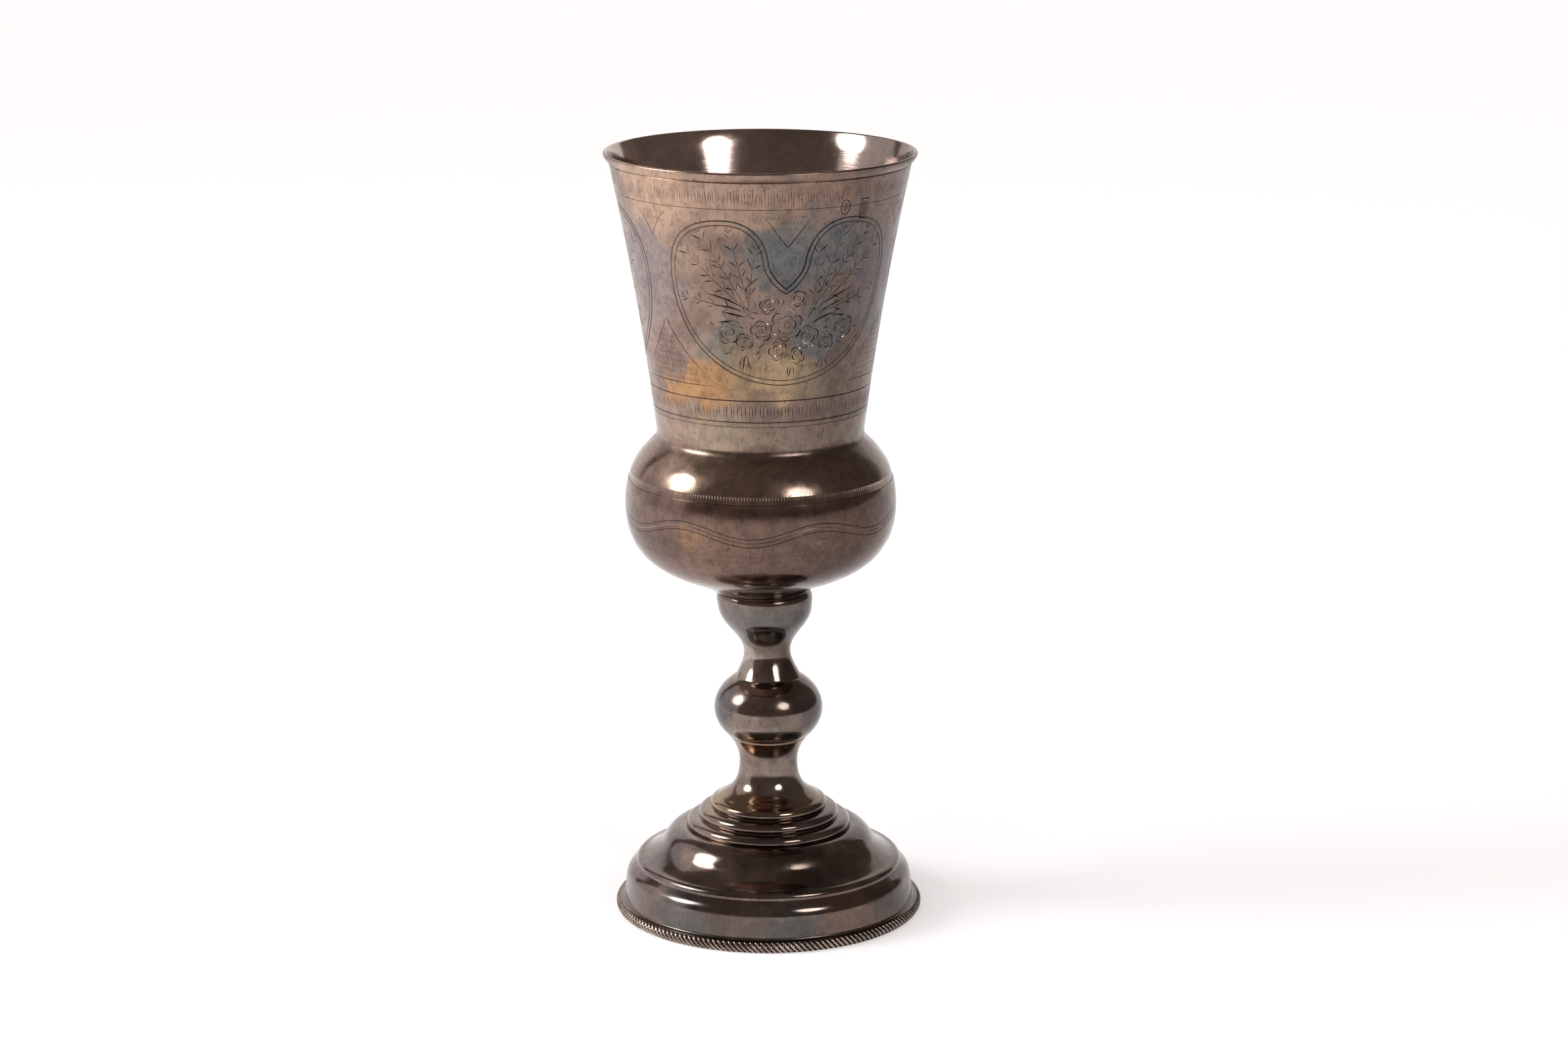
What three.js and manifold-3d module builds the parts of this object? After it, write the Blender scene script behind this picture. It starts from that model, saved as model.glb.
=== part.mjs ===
// Silver chalice: engraved beaker on a bulb, turned stem with a ball knop, stepped domed foot.
// Millimetres, +Z up, standing on z = 0; the viewer of the photograph is on the -Y side.
import * as THREE from 'three';
import { mergeVertices } from 'three/addons/utils/BufferGeometryUtils.js';
import Module from 'manifold-3d';

// Heights, from the table up
const HEIGHT = 145;
const WIRE_TOP = 2;
const KNOP_FOOT = 33.9;
const KNOP_TOP = 45.4;
const SEAT = 62.3;

// Bowl: a bulb below a flared beaker with a rolled lip
const WALL = 0.85;
const SEAT_RADIUS = 9;
const BULB_RADIUS = 25.3;
const BULB_HEIGHT = 79;
const NECK_RADIUS = 19.3;
const NECK_HEIGHT = 93;
const LIP_FOOT = 142.2;
const LIP_RADIUS = 28.85;
const LIP_TUBE = 0.85;
const FLARE_SLOPE = 6;
const FLARE_CURVE = 2.3;

// Engraved lines that show from a step away
const RING_LINES = [98.3, 102.4, 138.2];
const LINE_DEPTH = 0.3;
const LINE_HALF = 0.25;
const CARTOUCHES = 3;
const CARTOUCHE_CENTRE = 11.5;

// Stem, knop, foot and the wire round the foot's edge
const STEM_TOP_RADIUS = 9.1;
const STEM_WAIST = 4.4;
const KNOP_RADIUS = 10.25;
const KNOP_HALF = 7.8;
const KNOP_HEIGHT = 39.2;
const NECK_WAIST = 5.5;
const STEP_RINGS = [[10.1, 20.6], [12.35, 18.65], [14.6, 16.75]];
const STEP_BEAD = 0.9;
const SKIRT_BEADS = [[24.05, 9.4], [25.7, 8.05]];
const SKIRT_BEAD = 0.65;
const SKIRT_RADIUS = 27.1;
const FLANGE_RADIUS = 28.55;
const WIRE_RADIUS = 29.2;
const WIRE_INSIDE = 27.2;

// The old stem leans to the left and the bowl sits off its centre
const STEM_LEAN = -0.8;
const BOWL_SHIFT = -1.4;
const CENTRING = 0.65;

// Facets around the wide pieces and around the stem
const ROUND = 36;
const SLIM = 26;

const kernel = await Module();
kernel.setup();

function point(radius, height) {
  return new THREE.Vector2(radius, height);
}

function turned(points, segments) {
  const lathe = new THREE.LatheGeometry(points, segments);
  lathe.rotateX(Math.PI / 2);
  lathe.deleteAttribute('normal');
  lathe.deleteAttribute('uv');
  return mergeVertices(lathe, 1e-4);
}

function bead([radius, height], tube, from, to, steps) {
  const points = [];
  for (let i = 0; i <= steps; i += 1) {
    const a = THREE.MathUtils.degToRad(from + ((to - from) * i) / steps);
    points.push(point(radius + tube * Math.cos(a), height + tube * Math.sin(a)));
  }
  return points;
}

// Outer radius of the beaker at a height
function beaker(z) {
  const t = (z - NECK_HEIGHT) / (LIP_FOOT - NECK_HEIGHT);
  return NECK_RADIUS + FLARE_SLOPE * t + FLARE_CURVE * t * t;
}

// The bulb from the stem up to the neck, moved in by a wall thickness for its inside
function bulb(inset, startRadius) {
  const side = BULB_RADIUS - inset;
  const path = new THREE.Path();
  path.moveTo(startRadius, SEAT + inset);
  path.bezierCurveTo(12.6 - inset, 65.7 + inset / 2, side, 65.6 + inset, side, BULB_HEIGHT);
  path.bezierCurveTo(side, 85.8, 22.7 - inset, 88.7, 19.65 - inset, 91.6);
  return path;
}

function bowlProfile() {
  const wall = [NECK_HEIGHT, 120, LIP_FOOT].map((z) => point(beaker(z), z));
  for (const z of RING_LINES) {
    wall.push(point(beaker(z - LINE_HALF), z - LINE_HALF));
    wall.push(point(beaker(z) - LINE_DEPTH, z));
    wall.push(point(beaker(z + LINE_HALF), z + LINE_HALF));
  }
  wall.sort((a, b) => a.y - b.y);
  const lip = bead([LIP_RADIUS - LIP_TUBE, HEIGHT - LIP_TUBE], LIP_TUBE, -60, 190, 5);
  const inside = [LIP_FOOT, 120, NECK_HEIGHT].map((z) => point(beaker(z) - WALL, z));
  return [
    point(0, SEAT), ...bulb(0, SEAT_RADIUS).getPoints(6), ...wall, ...lip,
    ...inside, ...bulb(WALL, 7).getPoints(4).reverse(), point(0, SEAT + WALL),
  ];
}

// Outline of one heart-shaped cartouche, in degrees around the beaker and millimetres of height
function heart() {
  const side = new THREE.Path();
  side.moveTo(0, 123.4);
  side.quadraticCurveTo(7.4, 126, 8, 128.6);
  side.bezierCurveTo(9, 132.6, 15, 136.1, 26, 136.1);
  side.bezierCurveTo(44, 136.1, 52.3, 131.5, 52.3, 124.5);
  side.bezierCurveTo(52.3, 112.5, 27, 105.6, 0, 105.4);
  const right = side.getPoints(5);
  const left = right.slice(1, -1).reverse().map((p) => point(-p.x, p.y));
  return [...right, ...left];
}

function onBeaker(degrees, z) {
  const a = THREE.MathUtils.degToRad(degrees);
  return new THREE.Vector3(beaker(z) * Math.sin(a), -beaker(z) * Math.cos(a), z);
}

// A four-sided rod along the heart, which cuts its line as a groove with sloping sides
function lineCutter(centre) {
  const section = [[0, 0.5], [LINE_HALF, 0.06], [0, -LINE_DEPTH], [-LINE_HALF, 0.06]];
  const line = heart().map((p) => [p.x + centre, p.y]);
  const count = section.length * line.length;
  const positions = [];
  const index = [];
  line.forEach(([degrees, z], i) => {
    const here = onBeaker(degrees, z);
    const before = onBeaker(...line.at(i - 1));
    const along = onBeaker(...line[(i + 1) % line.length]).sub(before);
    const out = new THREE.Vector3(here.x, here.y, 0).normalize();
    const across = new THREE.Vector3().crossVectors(along, out).normalize();
    section.forEach(([side, rise], k) => {
      const corner = here.clone().addScaledVector(across, side).addScaledVector(out, rise);
      positions.push(corner.x, corner.y, corner.z);
      const a = section.length * i + k;
      const b = section.length * i + ((k + 1) % section.length);
      const [c, d] = [(b + section.length) % count, (a + section.length) % count];
      index.push(a, b, c, a, c, d);
    });
  });
  const geometry = new THREE.BufferGeometry();
  geometry.setAttribute('position', new THREE.Float32BufferAttribute(positions, 3));
  geometry.setIndex(index);
  return geometry;
}

function solid(geometry) {
  return new kernel.Manifold(new kernel.Mesh({
    numProp: 3,
    vertProperties: new Float32Array(geometry.attributes.position.array),
    triVerts: new Uint32Array(geometry.index.array),
  }));
}

function bowl() {
  let body = solid(turned(bowlProfile(), ROUND));
  for (let i = 0; i < CARTOUCHES; i += 1) {
    body = body.subtract(solid(lineCutter(CARTOUCHE_CENTRE + (360 * i) / CARTOUCHES)));
  }
  const mesh = body.getMesh();
  const geometry = new THREE.BufferGeometry();
  geometry.setAttribute('position', new THREE.BufferAttribute(mesh.vertProperties, 3));
  geometry.setIndex(new THREE.BufferAttribute(mesh.triVerts, 1));
  return geometry.translate(BOWL_SHIFT, 0, 0);
}

function upperStem() {
  const side = new THREE.Path();
  side.moveTo(0, KNOP_TOP);
  side.lineTo(6.5, KNOP_TOP);
  side.lineTo(6.4, KNOP_TOP + 0.4);
  side.quadraticCurveTo(STEM_WAIST, 48, STEM_WAIST, 50.2);
  side.bezierCurveTo(STEM_WAIST, 54, 8.5, 55.6, 8.7, 59);
  side.lineTo(STEM_TOP_RADIUS, SEAT);
  side.lineTo(0, SEAT);
  const lean = new THREE.Matrix4().makeShear(0, 0, 0, 0, STEM_LEAN / (SEAT - KNOP_TOP), 0);
  const geometry = turned(side.getPoints(5), SLIM).translate(0, 0, -KNOP_TOP);
  return geometry.applyMatrix4(lean).translate(0, 0, KNOP_TOP);
}

function knop() {
  const points = [point(0, KNOP_FOOT)];
  const from = Math.asin((KNOP_FOOT - KNOP_HEIGHT) / KNOP_HALF);
  const to = Math.asin((KNOP_TOP - KNOP_HEIGHT) / KNOP_HALF);
  const steps = 9;
  for (let i = 0; i <= steps; i += 1) {
    const a = from + ((to - from) * i) / steps;
    points.push(point(KNOP_RADIUS * Math.cos(a), KNOP_HEIGHT + KNOP_HALF * Math.sin(a)));
  }
  points.push(point(0, KNOP_TOP));
  return turned(points, SLIM);
}

// Thin domed foot, hollow underneath, with a solid neck
function foot() {
  const under = new THREE.Path();
  under.moveTo(0, 19.4);
  under.quadraticCurveTo(9.5, 19.3, 14, 15.9);
  under.lineTo(18.4, 13.4);
  under.bezierCurveTo(23.2, 10.4, 26, 9, 26.1, 6.4);
  under.quadraticCurveTo(26.3, 3.6, WIRE_INSIDE, WIRE_TOP);
  const skirt = new THREE.Path();
  skirt.moveTo(FLANGE_RADIUS, WIRE_TOP);
  skirt.bezierCurveTo(27.8, 3.2, 27.2, 4.2, SKIRT_RADIUS, 6.9);
  const dome = new THREE.Path();
  dome.moveTo(23.3, 10.5);
  dome.lineTo(19.8, 13.8);
  dome.quadraticCurveTo(18.8, 15.4, 16.4, 16.2);
  const neck = new THREE.Path();
  neck.moveTo(9.6, 21.8);
  neck.bezierCurveTo(8.2, 23.1, NECK_WAIST, 23.3, NECK_WAIST, 28.8);
  neck.quadraticCurveTo(5.7, 31, 7.4, KNOP_FOOT);
  const rings = [...STEP_RINGS].reverse().flatMap((at) => bead(at, STEP_BEAD, -25, 100, 2));
  const beads = [...SKIRT_BEADS].reverse().flatMap((at) => bead(at, SKIRT_BEAD, -15, 95, 2));
  return turned([
    ...under.getPoints(2), ...skirt.getPoints(3), ...beads, ...dome.getPoints(3), ...rings,
    ...neck.getPoints(4), point(0, KNOP_FOOT),
  ], ROUND);
}

function footWire() {
  const section = new THREE.Path();
  section.moveTo(WIRE_INSIDE, 0);
  section.lineTo(28.1, 0);
  section.bezierCurveTo(28.8, 0, WIRE_RADIUS, 0.5, WIRE_RADIUS, 1);
  section.quadraticCurveTo(WIRE_RADIUS, 1.6, 28.6, WIRE_TOP);
  section.lineTo(WIRE_INSIDE, WIRE_TOP);
  section.lineTo(WIRE_INSIDE, 0);
  return turned(section.getPoints(2), ROUND);
}

function silver(color, roughness) {
  return new THREE.MeshStandardMaterial({ color, roughness, metalness: 1 });
}

const group = new THREE.Group();
group.name = 'silver_chalice';
const pieces = [
  ['bowl', bowl(), silver(0xa89a8e, 0.26)],
  ['upper_stem', upperStem(), silver(0xa69a90, 0.18)],
  ['knop', knop(), silver(0xa69a90, 0.15)],
  ['foot', foot(), silver(0xa4978d, 0.2)],
  ['foot_wire', footWire(), silver(0x9a8d84, 0.3)],
];
for (const [name, geometry, material] of pieces) {
  const mesh = new THREE.Mesh(geometry.translate(CENTRING, 0, 0), material);
  mesh.name = name;
  group.add(mesh);
}

export default group;
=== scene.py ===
"""Looks of an engraved silver chalice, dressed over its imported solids."""

import logging
import math
import random
from collections.abc import Callable, Sequence
from dataclasses import dataclass, field
from enum import Enum

import bmesh
import bpy
import numpy as np
from mathutils import Matrix, Vector


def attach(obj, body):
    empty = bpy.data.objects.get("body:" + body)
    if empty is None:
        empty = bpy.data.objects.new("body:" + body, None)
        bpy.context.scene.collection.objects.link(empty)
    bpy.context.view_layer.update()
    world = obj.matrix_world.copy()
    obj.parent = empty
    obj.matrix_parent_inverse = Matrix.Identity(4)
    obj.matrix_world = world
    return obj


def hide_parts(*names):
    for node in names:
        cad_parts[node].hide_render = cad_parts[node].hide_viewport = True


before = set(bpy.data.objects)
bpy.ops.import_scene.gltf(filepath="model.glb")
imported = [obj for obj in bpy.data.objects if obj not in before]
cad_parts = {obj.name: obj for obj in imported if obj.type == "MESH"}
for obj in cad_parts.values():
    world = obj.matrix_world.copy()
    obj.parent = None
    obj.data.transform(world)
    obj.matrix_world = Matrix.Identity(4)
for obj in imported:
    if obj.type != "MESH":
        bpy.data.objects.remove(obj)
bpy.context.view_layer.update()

MM = 0.001
log = logging.getLogger("chalice")

Colour = tuple[float, float, float]
Place = tuple[float, float, float]
Point = tuple[float, float]


class Cut(Enum):
    """Passes of the graver, each cut into the bowl in one step."""

    FRAME = "frame"
    INNER_FRAME = "inner_frame"
    BORDER = "border"
    MATTING = "matting"
    STEM = "stem"
    LEAF = "leaf"
    BRIGHT = "bright_line"
    DARK_PETAL = "dark_petal"
    WAVE = "wave"
    MILLING = "milling"
    ROULETTE = "roulette"
    STAMP = "stamp"


class Face(Enum):
    """Materials of the bowl, by their index."""

    SILVER = 0
    DARK_CUT = 1
    LINING = 2
    BRIGHT_CUT = 3
    MILLED = 4


CUT_FACES = {Cut.BRIGHT: Face.BRIGHT_CUT, Cut.ROULETTE: Face.MILLED}


class Mix(Enum):
    """Ways to lay one colour over another."""

    COVER = "MIX"
    DARKEN = "MULTIPLY"


# Outlines and turned shapes


class Outline:
    """A line of points made of straight runs, curves and arcs.

    It is a profile of radius and height in millimetres, or an ornament's angle and height.
    """

    def __init__(self, radius: float, height: float) -> None:
        """Starts the profile at one point."""
        self.points: list[Point] = [(radius, height)]

    def line(self, radius: float, height: float) -> "Outline":
        """Draws a straight line to a point."""
        self.points.append((radius, height))
        return self

    def curve(self, first: Point, second: Point, end: Point, steps: int) -> "Outline":
        """Draws a cubic curve.

        Args:
            first: Handle at the start.
            second: Handle at the end.
            end: Last point of the curve.
            steps: Straight pieces that the curve is drawn with.

        Returns:
            The outline itself, so that calls can follow each other.
        """
        start = self.points[-1]
        for i in range(1, steps + 1):
            t = i / steps
            weights = ((1 - t) ** 3, 3 * t * (1 - t) ** 2, 3 * t * t * (1 - t), t**3)
            corners = (start, first, second, end)
            self.points.append(
                (
                    sum(w * c[0] for w, c in zip(weights, corners)),
                    sum(w * c[1] for w, c in zip(weights, corners)),
                )
            )
        return self

    def arc(self, centre: Point, radius: float, start: float, stop: float, steps: int) -> "Outline":
        """Draws an arc of a circle, with a straight line to its start.

        Args:
            centre: Centre of the circle.
            radius: Radius of the circle.
            start: First angle in degrees, from the outward direction.
            stop: Last angle in degrees.
            steps: Straight pieces that the arc is drawn with.

        Returns:
            The outline itself.
        """
        for i in range(steps + 1):
            a = math.radians(start + (stop - start) * i / steps)
            self.points.append((centre[0] + radius * math.cos(a), centre[1] + radius * math.sin(a)))
        return self


def turned(outline: Outline, steps: int, closed: bool = False) -> bmesh.types.BMesh:
    """Spins a profile into a closed body round the vertical axis.

    Args:
        outline: Profile in millimetres.
        steps: Facets around.
        closed: True when the profile is a ring section that closes on itself.

    Returns:
        A mesh in metres with its faces turned outwards.
    """
    bm = bmesh.new()
    verts = [bm.verts.new((r * MM, 0, z * MM)) for r, z in outline.points]
    edges = [bm.edges.new(pair) for pair in zip(verts, verts[1:])]
    if closed:
        edges.append(bm.edges.new((verts[-1], verts[0])))
    bmesh.ops.spin(
        bm,
        geom=verts + edges,
        cent=(0, 0, 0),
        axis=(0, 0, 1),
        angle=math.tau,
        steps=steps,
        use_merge=True,
    )
    bmesh.ops.remove_doubles(bm, verts=bm.verts, dist=0.002 * MM)
    bmesh.ops.recalc_face_normals(bm, faces=bm.faces)
    return bm


def crease(bm: bmesh.types.BMesh, degrees: float) -> None:
    """Shades a mesh smooth, apart from its sharp edges.

    Args:
        bm: Mesh to shade.
        degrees: Angle between two faces past which their edge stays sharp.
    """
    for face in bm.faces:
        face.smooth = True
    for edge in bm.edges:
        edge.smooth = edge.calc_face_angle(0) < math.radians(degrees)


def lean(bm: bmesh.types.BMesh, foot: float, top: float, start: float, stop: float) -> None:
    """Moves each level of a mesh sideways, a little more the higher it is.

    Args:
        bm: Mesh to lean.
        foot: Height where the lean starts, in millimetres.
        top: Height where it ends.
        start: Shift along X at the foot, in millimetres.
        stop: Shift along X at the top.
    """
    slope = (stop - start) / (top - foot)
    shear = Matrix.Identity(4)
    shear[0][2] = slope
    shear[0][3] = (start - slope * foot) * MM
    bmesh.ops.transform(bm, matrix=shear, verts=bm.verts)


def piece(name: str, bm: bmesh.types.BMesh, materials: Sequence[bpy.types.Material]) -> bpy.types.Object:
    """Makes an object of a mesh, at the origin, in the scene.

    Args:
        name: Name of the piece.
        bm: Finished mesh, which is freed.
        materials: Materials in the order of the faces' indices.

    Returns:
        The new object.
    """
    mesh = bpy.data.meshes.new(name)
    bm.to_mesh(mesh)
    bm.free()
    for material in materials:
        mesh.materials.append(material)
    made = bpy.data.objects.new(name, mesh)
    bpy.context.scene.collection.objects.link(made)
    return made


def hand_over(made: bpy.types.Object, node: str) -> None:
    """Puts a piece in the place of its solid, under the root body, and hides that solid.

    Args:
        made: The finished piece.
        node: Name of the solid.
    """
    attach(made, "root")
    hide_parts(node)
    log.info("%s: %d faces", made.name, len(made.data.polygons))


# Finishes


class NodeSheet:
    """A material's nodes, with coordinates in millimetres."""

    def __init__(self, material: bpy.types.Material) -> None:
        """Clears the material's nodes and lays out its shader and coordinates.

        Args:
            material: Material to work on.
        """
        material.use_nodes = True
        self.tree = material.node_tree
        self.tree.nodes.clear()
        self.shader = self.tree.nodes.new("ShaderNodeBsdfPrincipled")
        output = self.tree.nodes.new("ShaderNodeOutputMaterial")
        self.link(self.shader.outputs["BSDF"], output.inputs["Surface"])
        where = self.tree.nodes.new("ShaderNodeTexCoord")
        mapping = self.tree.nodes.new("ShaderNodeMapping")
        mapping.inputs["Scale"].default_value = (1000, 1000, 1000)
        self.link(where.outputs["Object"], mapping.inputs["Vector"])
        self.place = mapping.outputs["Vector"]

    def link(self, start: bpy.types.NodeSocket, end: bpy.types.NodeSocket) -> None:
        """Joins two sockets."""
        self.tree.links.new(start, end)

    def put(self, socket: bpy.types.NodeSocket, value: object) -> None:
        """Links a socket to another socket, or sets it to a plain value.

        Args:
            socket: Socket to feed.
            value: Another socket, or a number or colour.
        """
        if isinstance(value, bpy.types.NodeSocket):
            self.link(value, socket)
        else:
            socket.default_value = value

    def noise(self, size: float, detail: float, stretch: Sequence[float] = (1, 1, 1)) -> bpy.types.Node:
        """Adds a noise whose clouds are about a size in millimetres.

        Args:
            size: Width of one cloud.
            detail: Octaves of finer detail.
            stretch: Factor on the frequency along X, Y and Z.

        Returns:
            The noise node.
        """
        mapping = self.tree.nodes.new("ShaderNodeMapping")
        mapping.inputs["Scale"].default_value = [s / size for s in stretch]
        self.link(self.place, mapping.inputs["Vector"])
        node = self.tree.nodes.new("ShaderNodeTexNoise")
        node.inputs["Scale"].default_value = 1
        node.inputs["Detail"].default_value = detail
        self.link(mapping.outputs["Vector"], node.inputs["Vector"])
        return node

    def span(
        self, value: object, low: float, high: float, start: float, stop: float
    ) -> bpy.types.NodeSocket:
        """Maps a value smoothly from one range onto another, clamped.

        Args:
            value: Socket or number to map.
            low: Value that becomes start.
            high: Value that becomes stop.
            start: First result.
            stop: Last result.

        Returns:
            The mapped socket.
        """
        node = self.tree.nodes.new("ShaderNodeMapRange")
        node.interpolation_type = "SMOOTHSTEP"
        for name, number in zip(("From Min", "From Max", "To Min", "To Max"), (low, high, start, stop)):
            node.inputs[name].default_value = number
        self.put(node.inputs["Value"], value)
        return node.outputs["Result"]

    def sum(self, operation: str, first: object, second: object) -> bpy.types.NodeSocket:
        """Works out one sum of two values.

        Args:
            operation: Kind of sum.
            first: Socket or number.
            second: Socket or number.

        Returns:
            The result.
        """
        node = self.tree.nodes.new("ShaderNodeMath")
        node.operation = operation
        self.put(node.inputs[0], first)
        self.put(node.inputs[1], second)
        return node.outputs["Value"]

    def blend(
        self, share: object, first: object, second: object, kind: Mix = Mix.COVER
    ) -> bpy.types.NodeSocket:
        """Mixes two colours by a share of the second.

        Args:
            share: Socket or number from 0 to 1.
            first: Socket or colour at 0.
            second: Socket or colour at 1.
            kind: How the second colour is laid over the first.

        Returns:
            The mixed colour.
        """
        node = self.tree.nodes.new("ShaderNodeMix")
        node.data_type = "RGBA"
        node.blend_type = kind.value
        self.put(node.inputs["Factor"], share)
        for name, value in (("A", first), ("B", second)):
            socket = next(s for s in node.inputs if s.name == name and s.type == "RGBA")
            self.put(socket, value if isinstance(value, bpy.types.NodeSocket) else (*value, 1))
        return next(s for s in node.outputs if s.type == "RGBA")

    def vector(self, operation: str, first: object, second: object) -> bpy.types.Node:
        """Works out one sum of two vectors.

        Args:
            operation: Kind of sum.
            first: Socket or vector.
            second: Socket or vector.

        Returns:
            The node, whose result is a vector or a value.
        """
        node = self.tree.nodes.new("ShaderNodeVectorMath")
        node.operation = operation
        self.put(node.inputs[0], first)
        self.put(node.inputs[1], second)
        return node

    def side(self, azimuth: float) -> bpy.types.NodeSocket:
        """Measures how far a point lies towards one side of the object.

        Args:
            azimuth: Degrees of that side, from the front to the right.

        Returns:
            A value from -1 at the far side to 1 at this one.
        """
        flat = self.vector("MULTIPLY", self.place, (1, 1, 0)).outputs["Vector"]
        node = self.tree.nodes.new("ShaderNodeVectorMath")
        node.operation = "NORMALIZE"
        self.link(flat, node.inputs[0])
        a = math.radians(azimuth)
        towards = (math.sin(a), -math.cos(a), 0)
        return self.vector("DOT_PRODUCT", node.outputs["Vector"], towards).outputs["Value"]

    def height(self) -> bpy.types.NodeSocket:
        """Gives the height above the table in millimetres."""
        return self.vector("DOT_PRODUCT", self.place, (0, 0, 1)).outputs["Value"]

    def cloud(self, centre: Place, radius: float, wobble: bpy.types.NodeSocket) -> bpy.types.NodeSocket:
        """Makes a soft ragged spot round a point.

        Args:
            centre: Middle of the spot in millimetres.
            radius: Distance where it has faded out.
            wobble: Vector in millimetres that frays its edge.

        Returns:
            A mask from 0 outside to 1 in the middle.
        """
        moved = self.vector("ADD", self.place, wobble).outputs["Vector"]
        away = self.vector("DISTANCE", moved, centre).outputs["Value"]
        return self.span(away, radius, 0.45 * radius, 0, 1)

    def bump(self, height: bpy.types.NodeSocket, depth: float, before: object = None) -> bpy.types.NodeSocket:
        """Raises the surface by a height map.

        Args:
            height: The map, from 0 to 1.
            depth: Height in millimetres at 1.
            before: Normal of an earlier bump to add to, if any.

        Returns:
            The new normal.
        """
        node = self.tree.nodes.new("ShaderNodeBump")
        node.inputs["Strength"].default_value = 1
        node.inputs["Distance"].default_value = depth * MM
        self.link(height, node.inputs["Height"])
        if before is not None:
            self.link(before, node.inputs["Normal"])
        return node.outputs["Normal"]


@dataclass(frozen=True)
class Patch:
    """A cloud of one tarnish colour round a point of the silver."""

    centre: Place
    radius: float
    colour: Colour
    share: float


@dataclass(frozen=True)
class Band:
    """A zone of heights with its own tarnish colour and polish."""

    low: float
    high: float
    soft: float
    colour: Colour
    share: float
    roughness: float = 0.0


GRIME_TONE = (0.07, 0.05, 0.04)
MOTTLE_TONE = (0.66, 0.7, 0.74)
SCUFF_TONE = (0.62, 0.58, 0.55)


@dataclass(frozen=True)
class SilverFinish:
    """Old silver with a warm tarnish that shifts in colour over the piece, and painted shade towards one
    side.
    """

    name: str
    bright: Colour
    deep: Colour
    gloss: tuple[float, float]
    cloud_size: float = 14.0
    dents: float = 0.012
    hairlines: float = 0.002
    grime: float = 0.35
    mottle: float = 0.35
    # Painted shade: how strongly, towards which side and in which tone the colour darkens where the lamps
    # light the piece less.
    side_shade: float = 0.9
    shade_azimuth: float = 75.0
    side_shade_tone: Colour = (0.36, 0.37, 0.39)
    patches: tuple[Patch, ...] = ()
    bands: tuple[Band, ...] = ()

    def material(self) -> bpy.types.Material:
        """Builds the node material.

        Returns:
            A metal whose colour, gloss and surface vary over the piece.
        """
        material = bpy.data.materials.new(self.name)
        sheet = NodeSheet(material)
        tone, rough = self.tarnish(sheet)
        specks = sheet.noise(0.7, 3)
        dirt = sheet.span(specks.outputs["Fac"], 0.55, 0.75, 0, self.grime)
        tone = sheet.blend(dirt, tone, GRIME_TONE)
        mottle = sheet.noise(2.2, 6)
        mottled = sheet.span(mottle.outputs["Fac"], 0.42, 0.6, 0, self.mottle)
        tone = sheet.blend(mottled, tone, MOTTLE_TONE, Mix.DARKEN)
        scuffs = sheet.noise(0.45, 2, (1, 1, 0.3))
        scuffed = sheet.span(scuffs.outputs["Fac"], 0.52, 0.72, 0, self.mottle)
        tone = sheet.blend(scuffed, tone, SCUFF_TONE, Mix.DARKEN)
        # Painted shade: the colour darkens towards the right side, which the lamps light less.
        painted_side_shade = sheet.span(sheet.side(self.shade_azimuth), -0.75, 0.9, 0, self.side_shade)
        tone = sheet.blend(painted_side_shade, tone, self.side_shade_tone, Mix.DARKEN)
        sheet.link(tone, sheet.shader.inputs["Base Color"])
        dull_dirt = sheet.sum("MULTIPLY", dirt, 0.2)
        sheet.link(sheet.sum("ADD", rough, dull_dirt), sheet.shader.inputs["Roughness"])
        sheet.shader.inputs["Metallic"].default_value = 1
        hammered = sheet.bump(sheet.noise(9, 1).outputs["Fac"], self.dents * 10)
        turning = sheet.noise(1, 2, (0.05, 0.05, 4))
        fine = sheet.bump(turning.outputs["Fac"], self.hairlines, hammered)
        sheet.link(fine, sheet.shader.inputs["Normal"])
        return material

    def tarnish(self, sheet: NodeSheet) -> tuple[bpy.types.NodeSocket, bpy.types.NodeSocket]:
        """Lays the clouds, bands and patches of tarnish over each other.

        Args:
            sheet: Nodes of the material.

        Returns:
            The colour and the roughness.
        """
        clouds = sheet.noise(self.cloud_size, 5)
        tone = sheet.blend(sheet.span(clouds.outputs["Fac"], 0.35, 0.65, 0, 1), self.deep, self.bright)
        haze = sheet.noise(self.cloud_size * 0.6, 4)
        rough = sheet.span(haze.outputs["Fac"], 0.3, 0.7, *self.gloss)
        fray = sheet.vector("SUBTRACT", sheet.noise(5, 4).outputs["Color"], (0.5, 0.5, 0.5)).outputs["Vector"]
        wobble = sheet.vector("MULTIPLY", fray, (13, 13, 13)).outputs["Vector"]
        ragged = sheet.sum("ADD", sheet.height(), sheet.span(clouds.outputs["Fac"], 0.3, 0.7, -1, 1))
        for band in self.bands:
            above = sheet.span(ragged, band.low - band.soft, band.low + band.soft, 0, 1)
            below = sheet.span(ragged, band.high - band.soft, band.high + band.soft, 1, 0)
            mask = sheet.sum("MULTIPLY", above, below)
            tone = sheet.blend(sheet.sum("MULTIPLY", mask, band.share), tone, band.colour)
            if band.roughness:
                rough = sheet.sum("ADD", rough, sheet.sum("MULTIPLY", mask, band.roughness))
        for patch in self.patches:
            mask = sheet.cloud(patch.centre, patch.radius, wobble)
            tone = sheet.blend(sheet.sum("MULTIPLY", mask, patch.share), tone, patch.colour)
        return tone, rough


# The pieces


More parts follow.
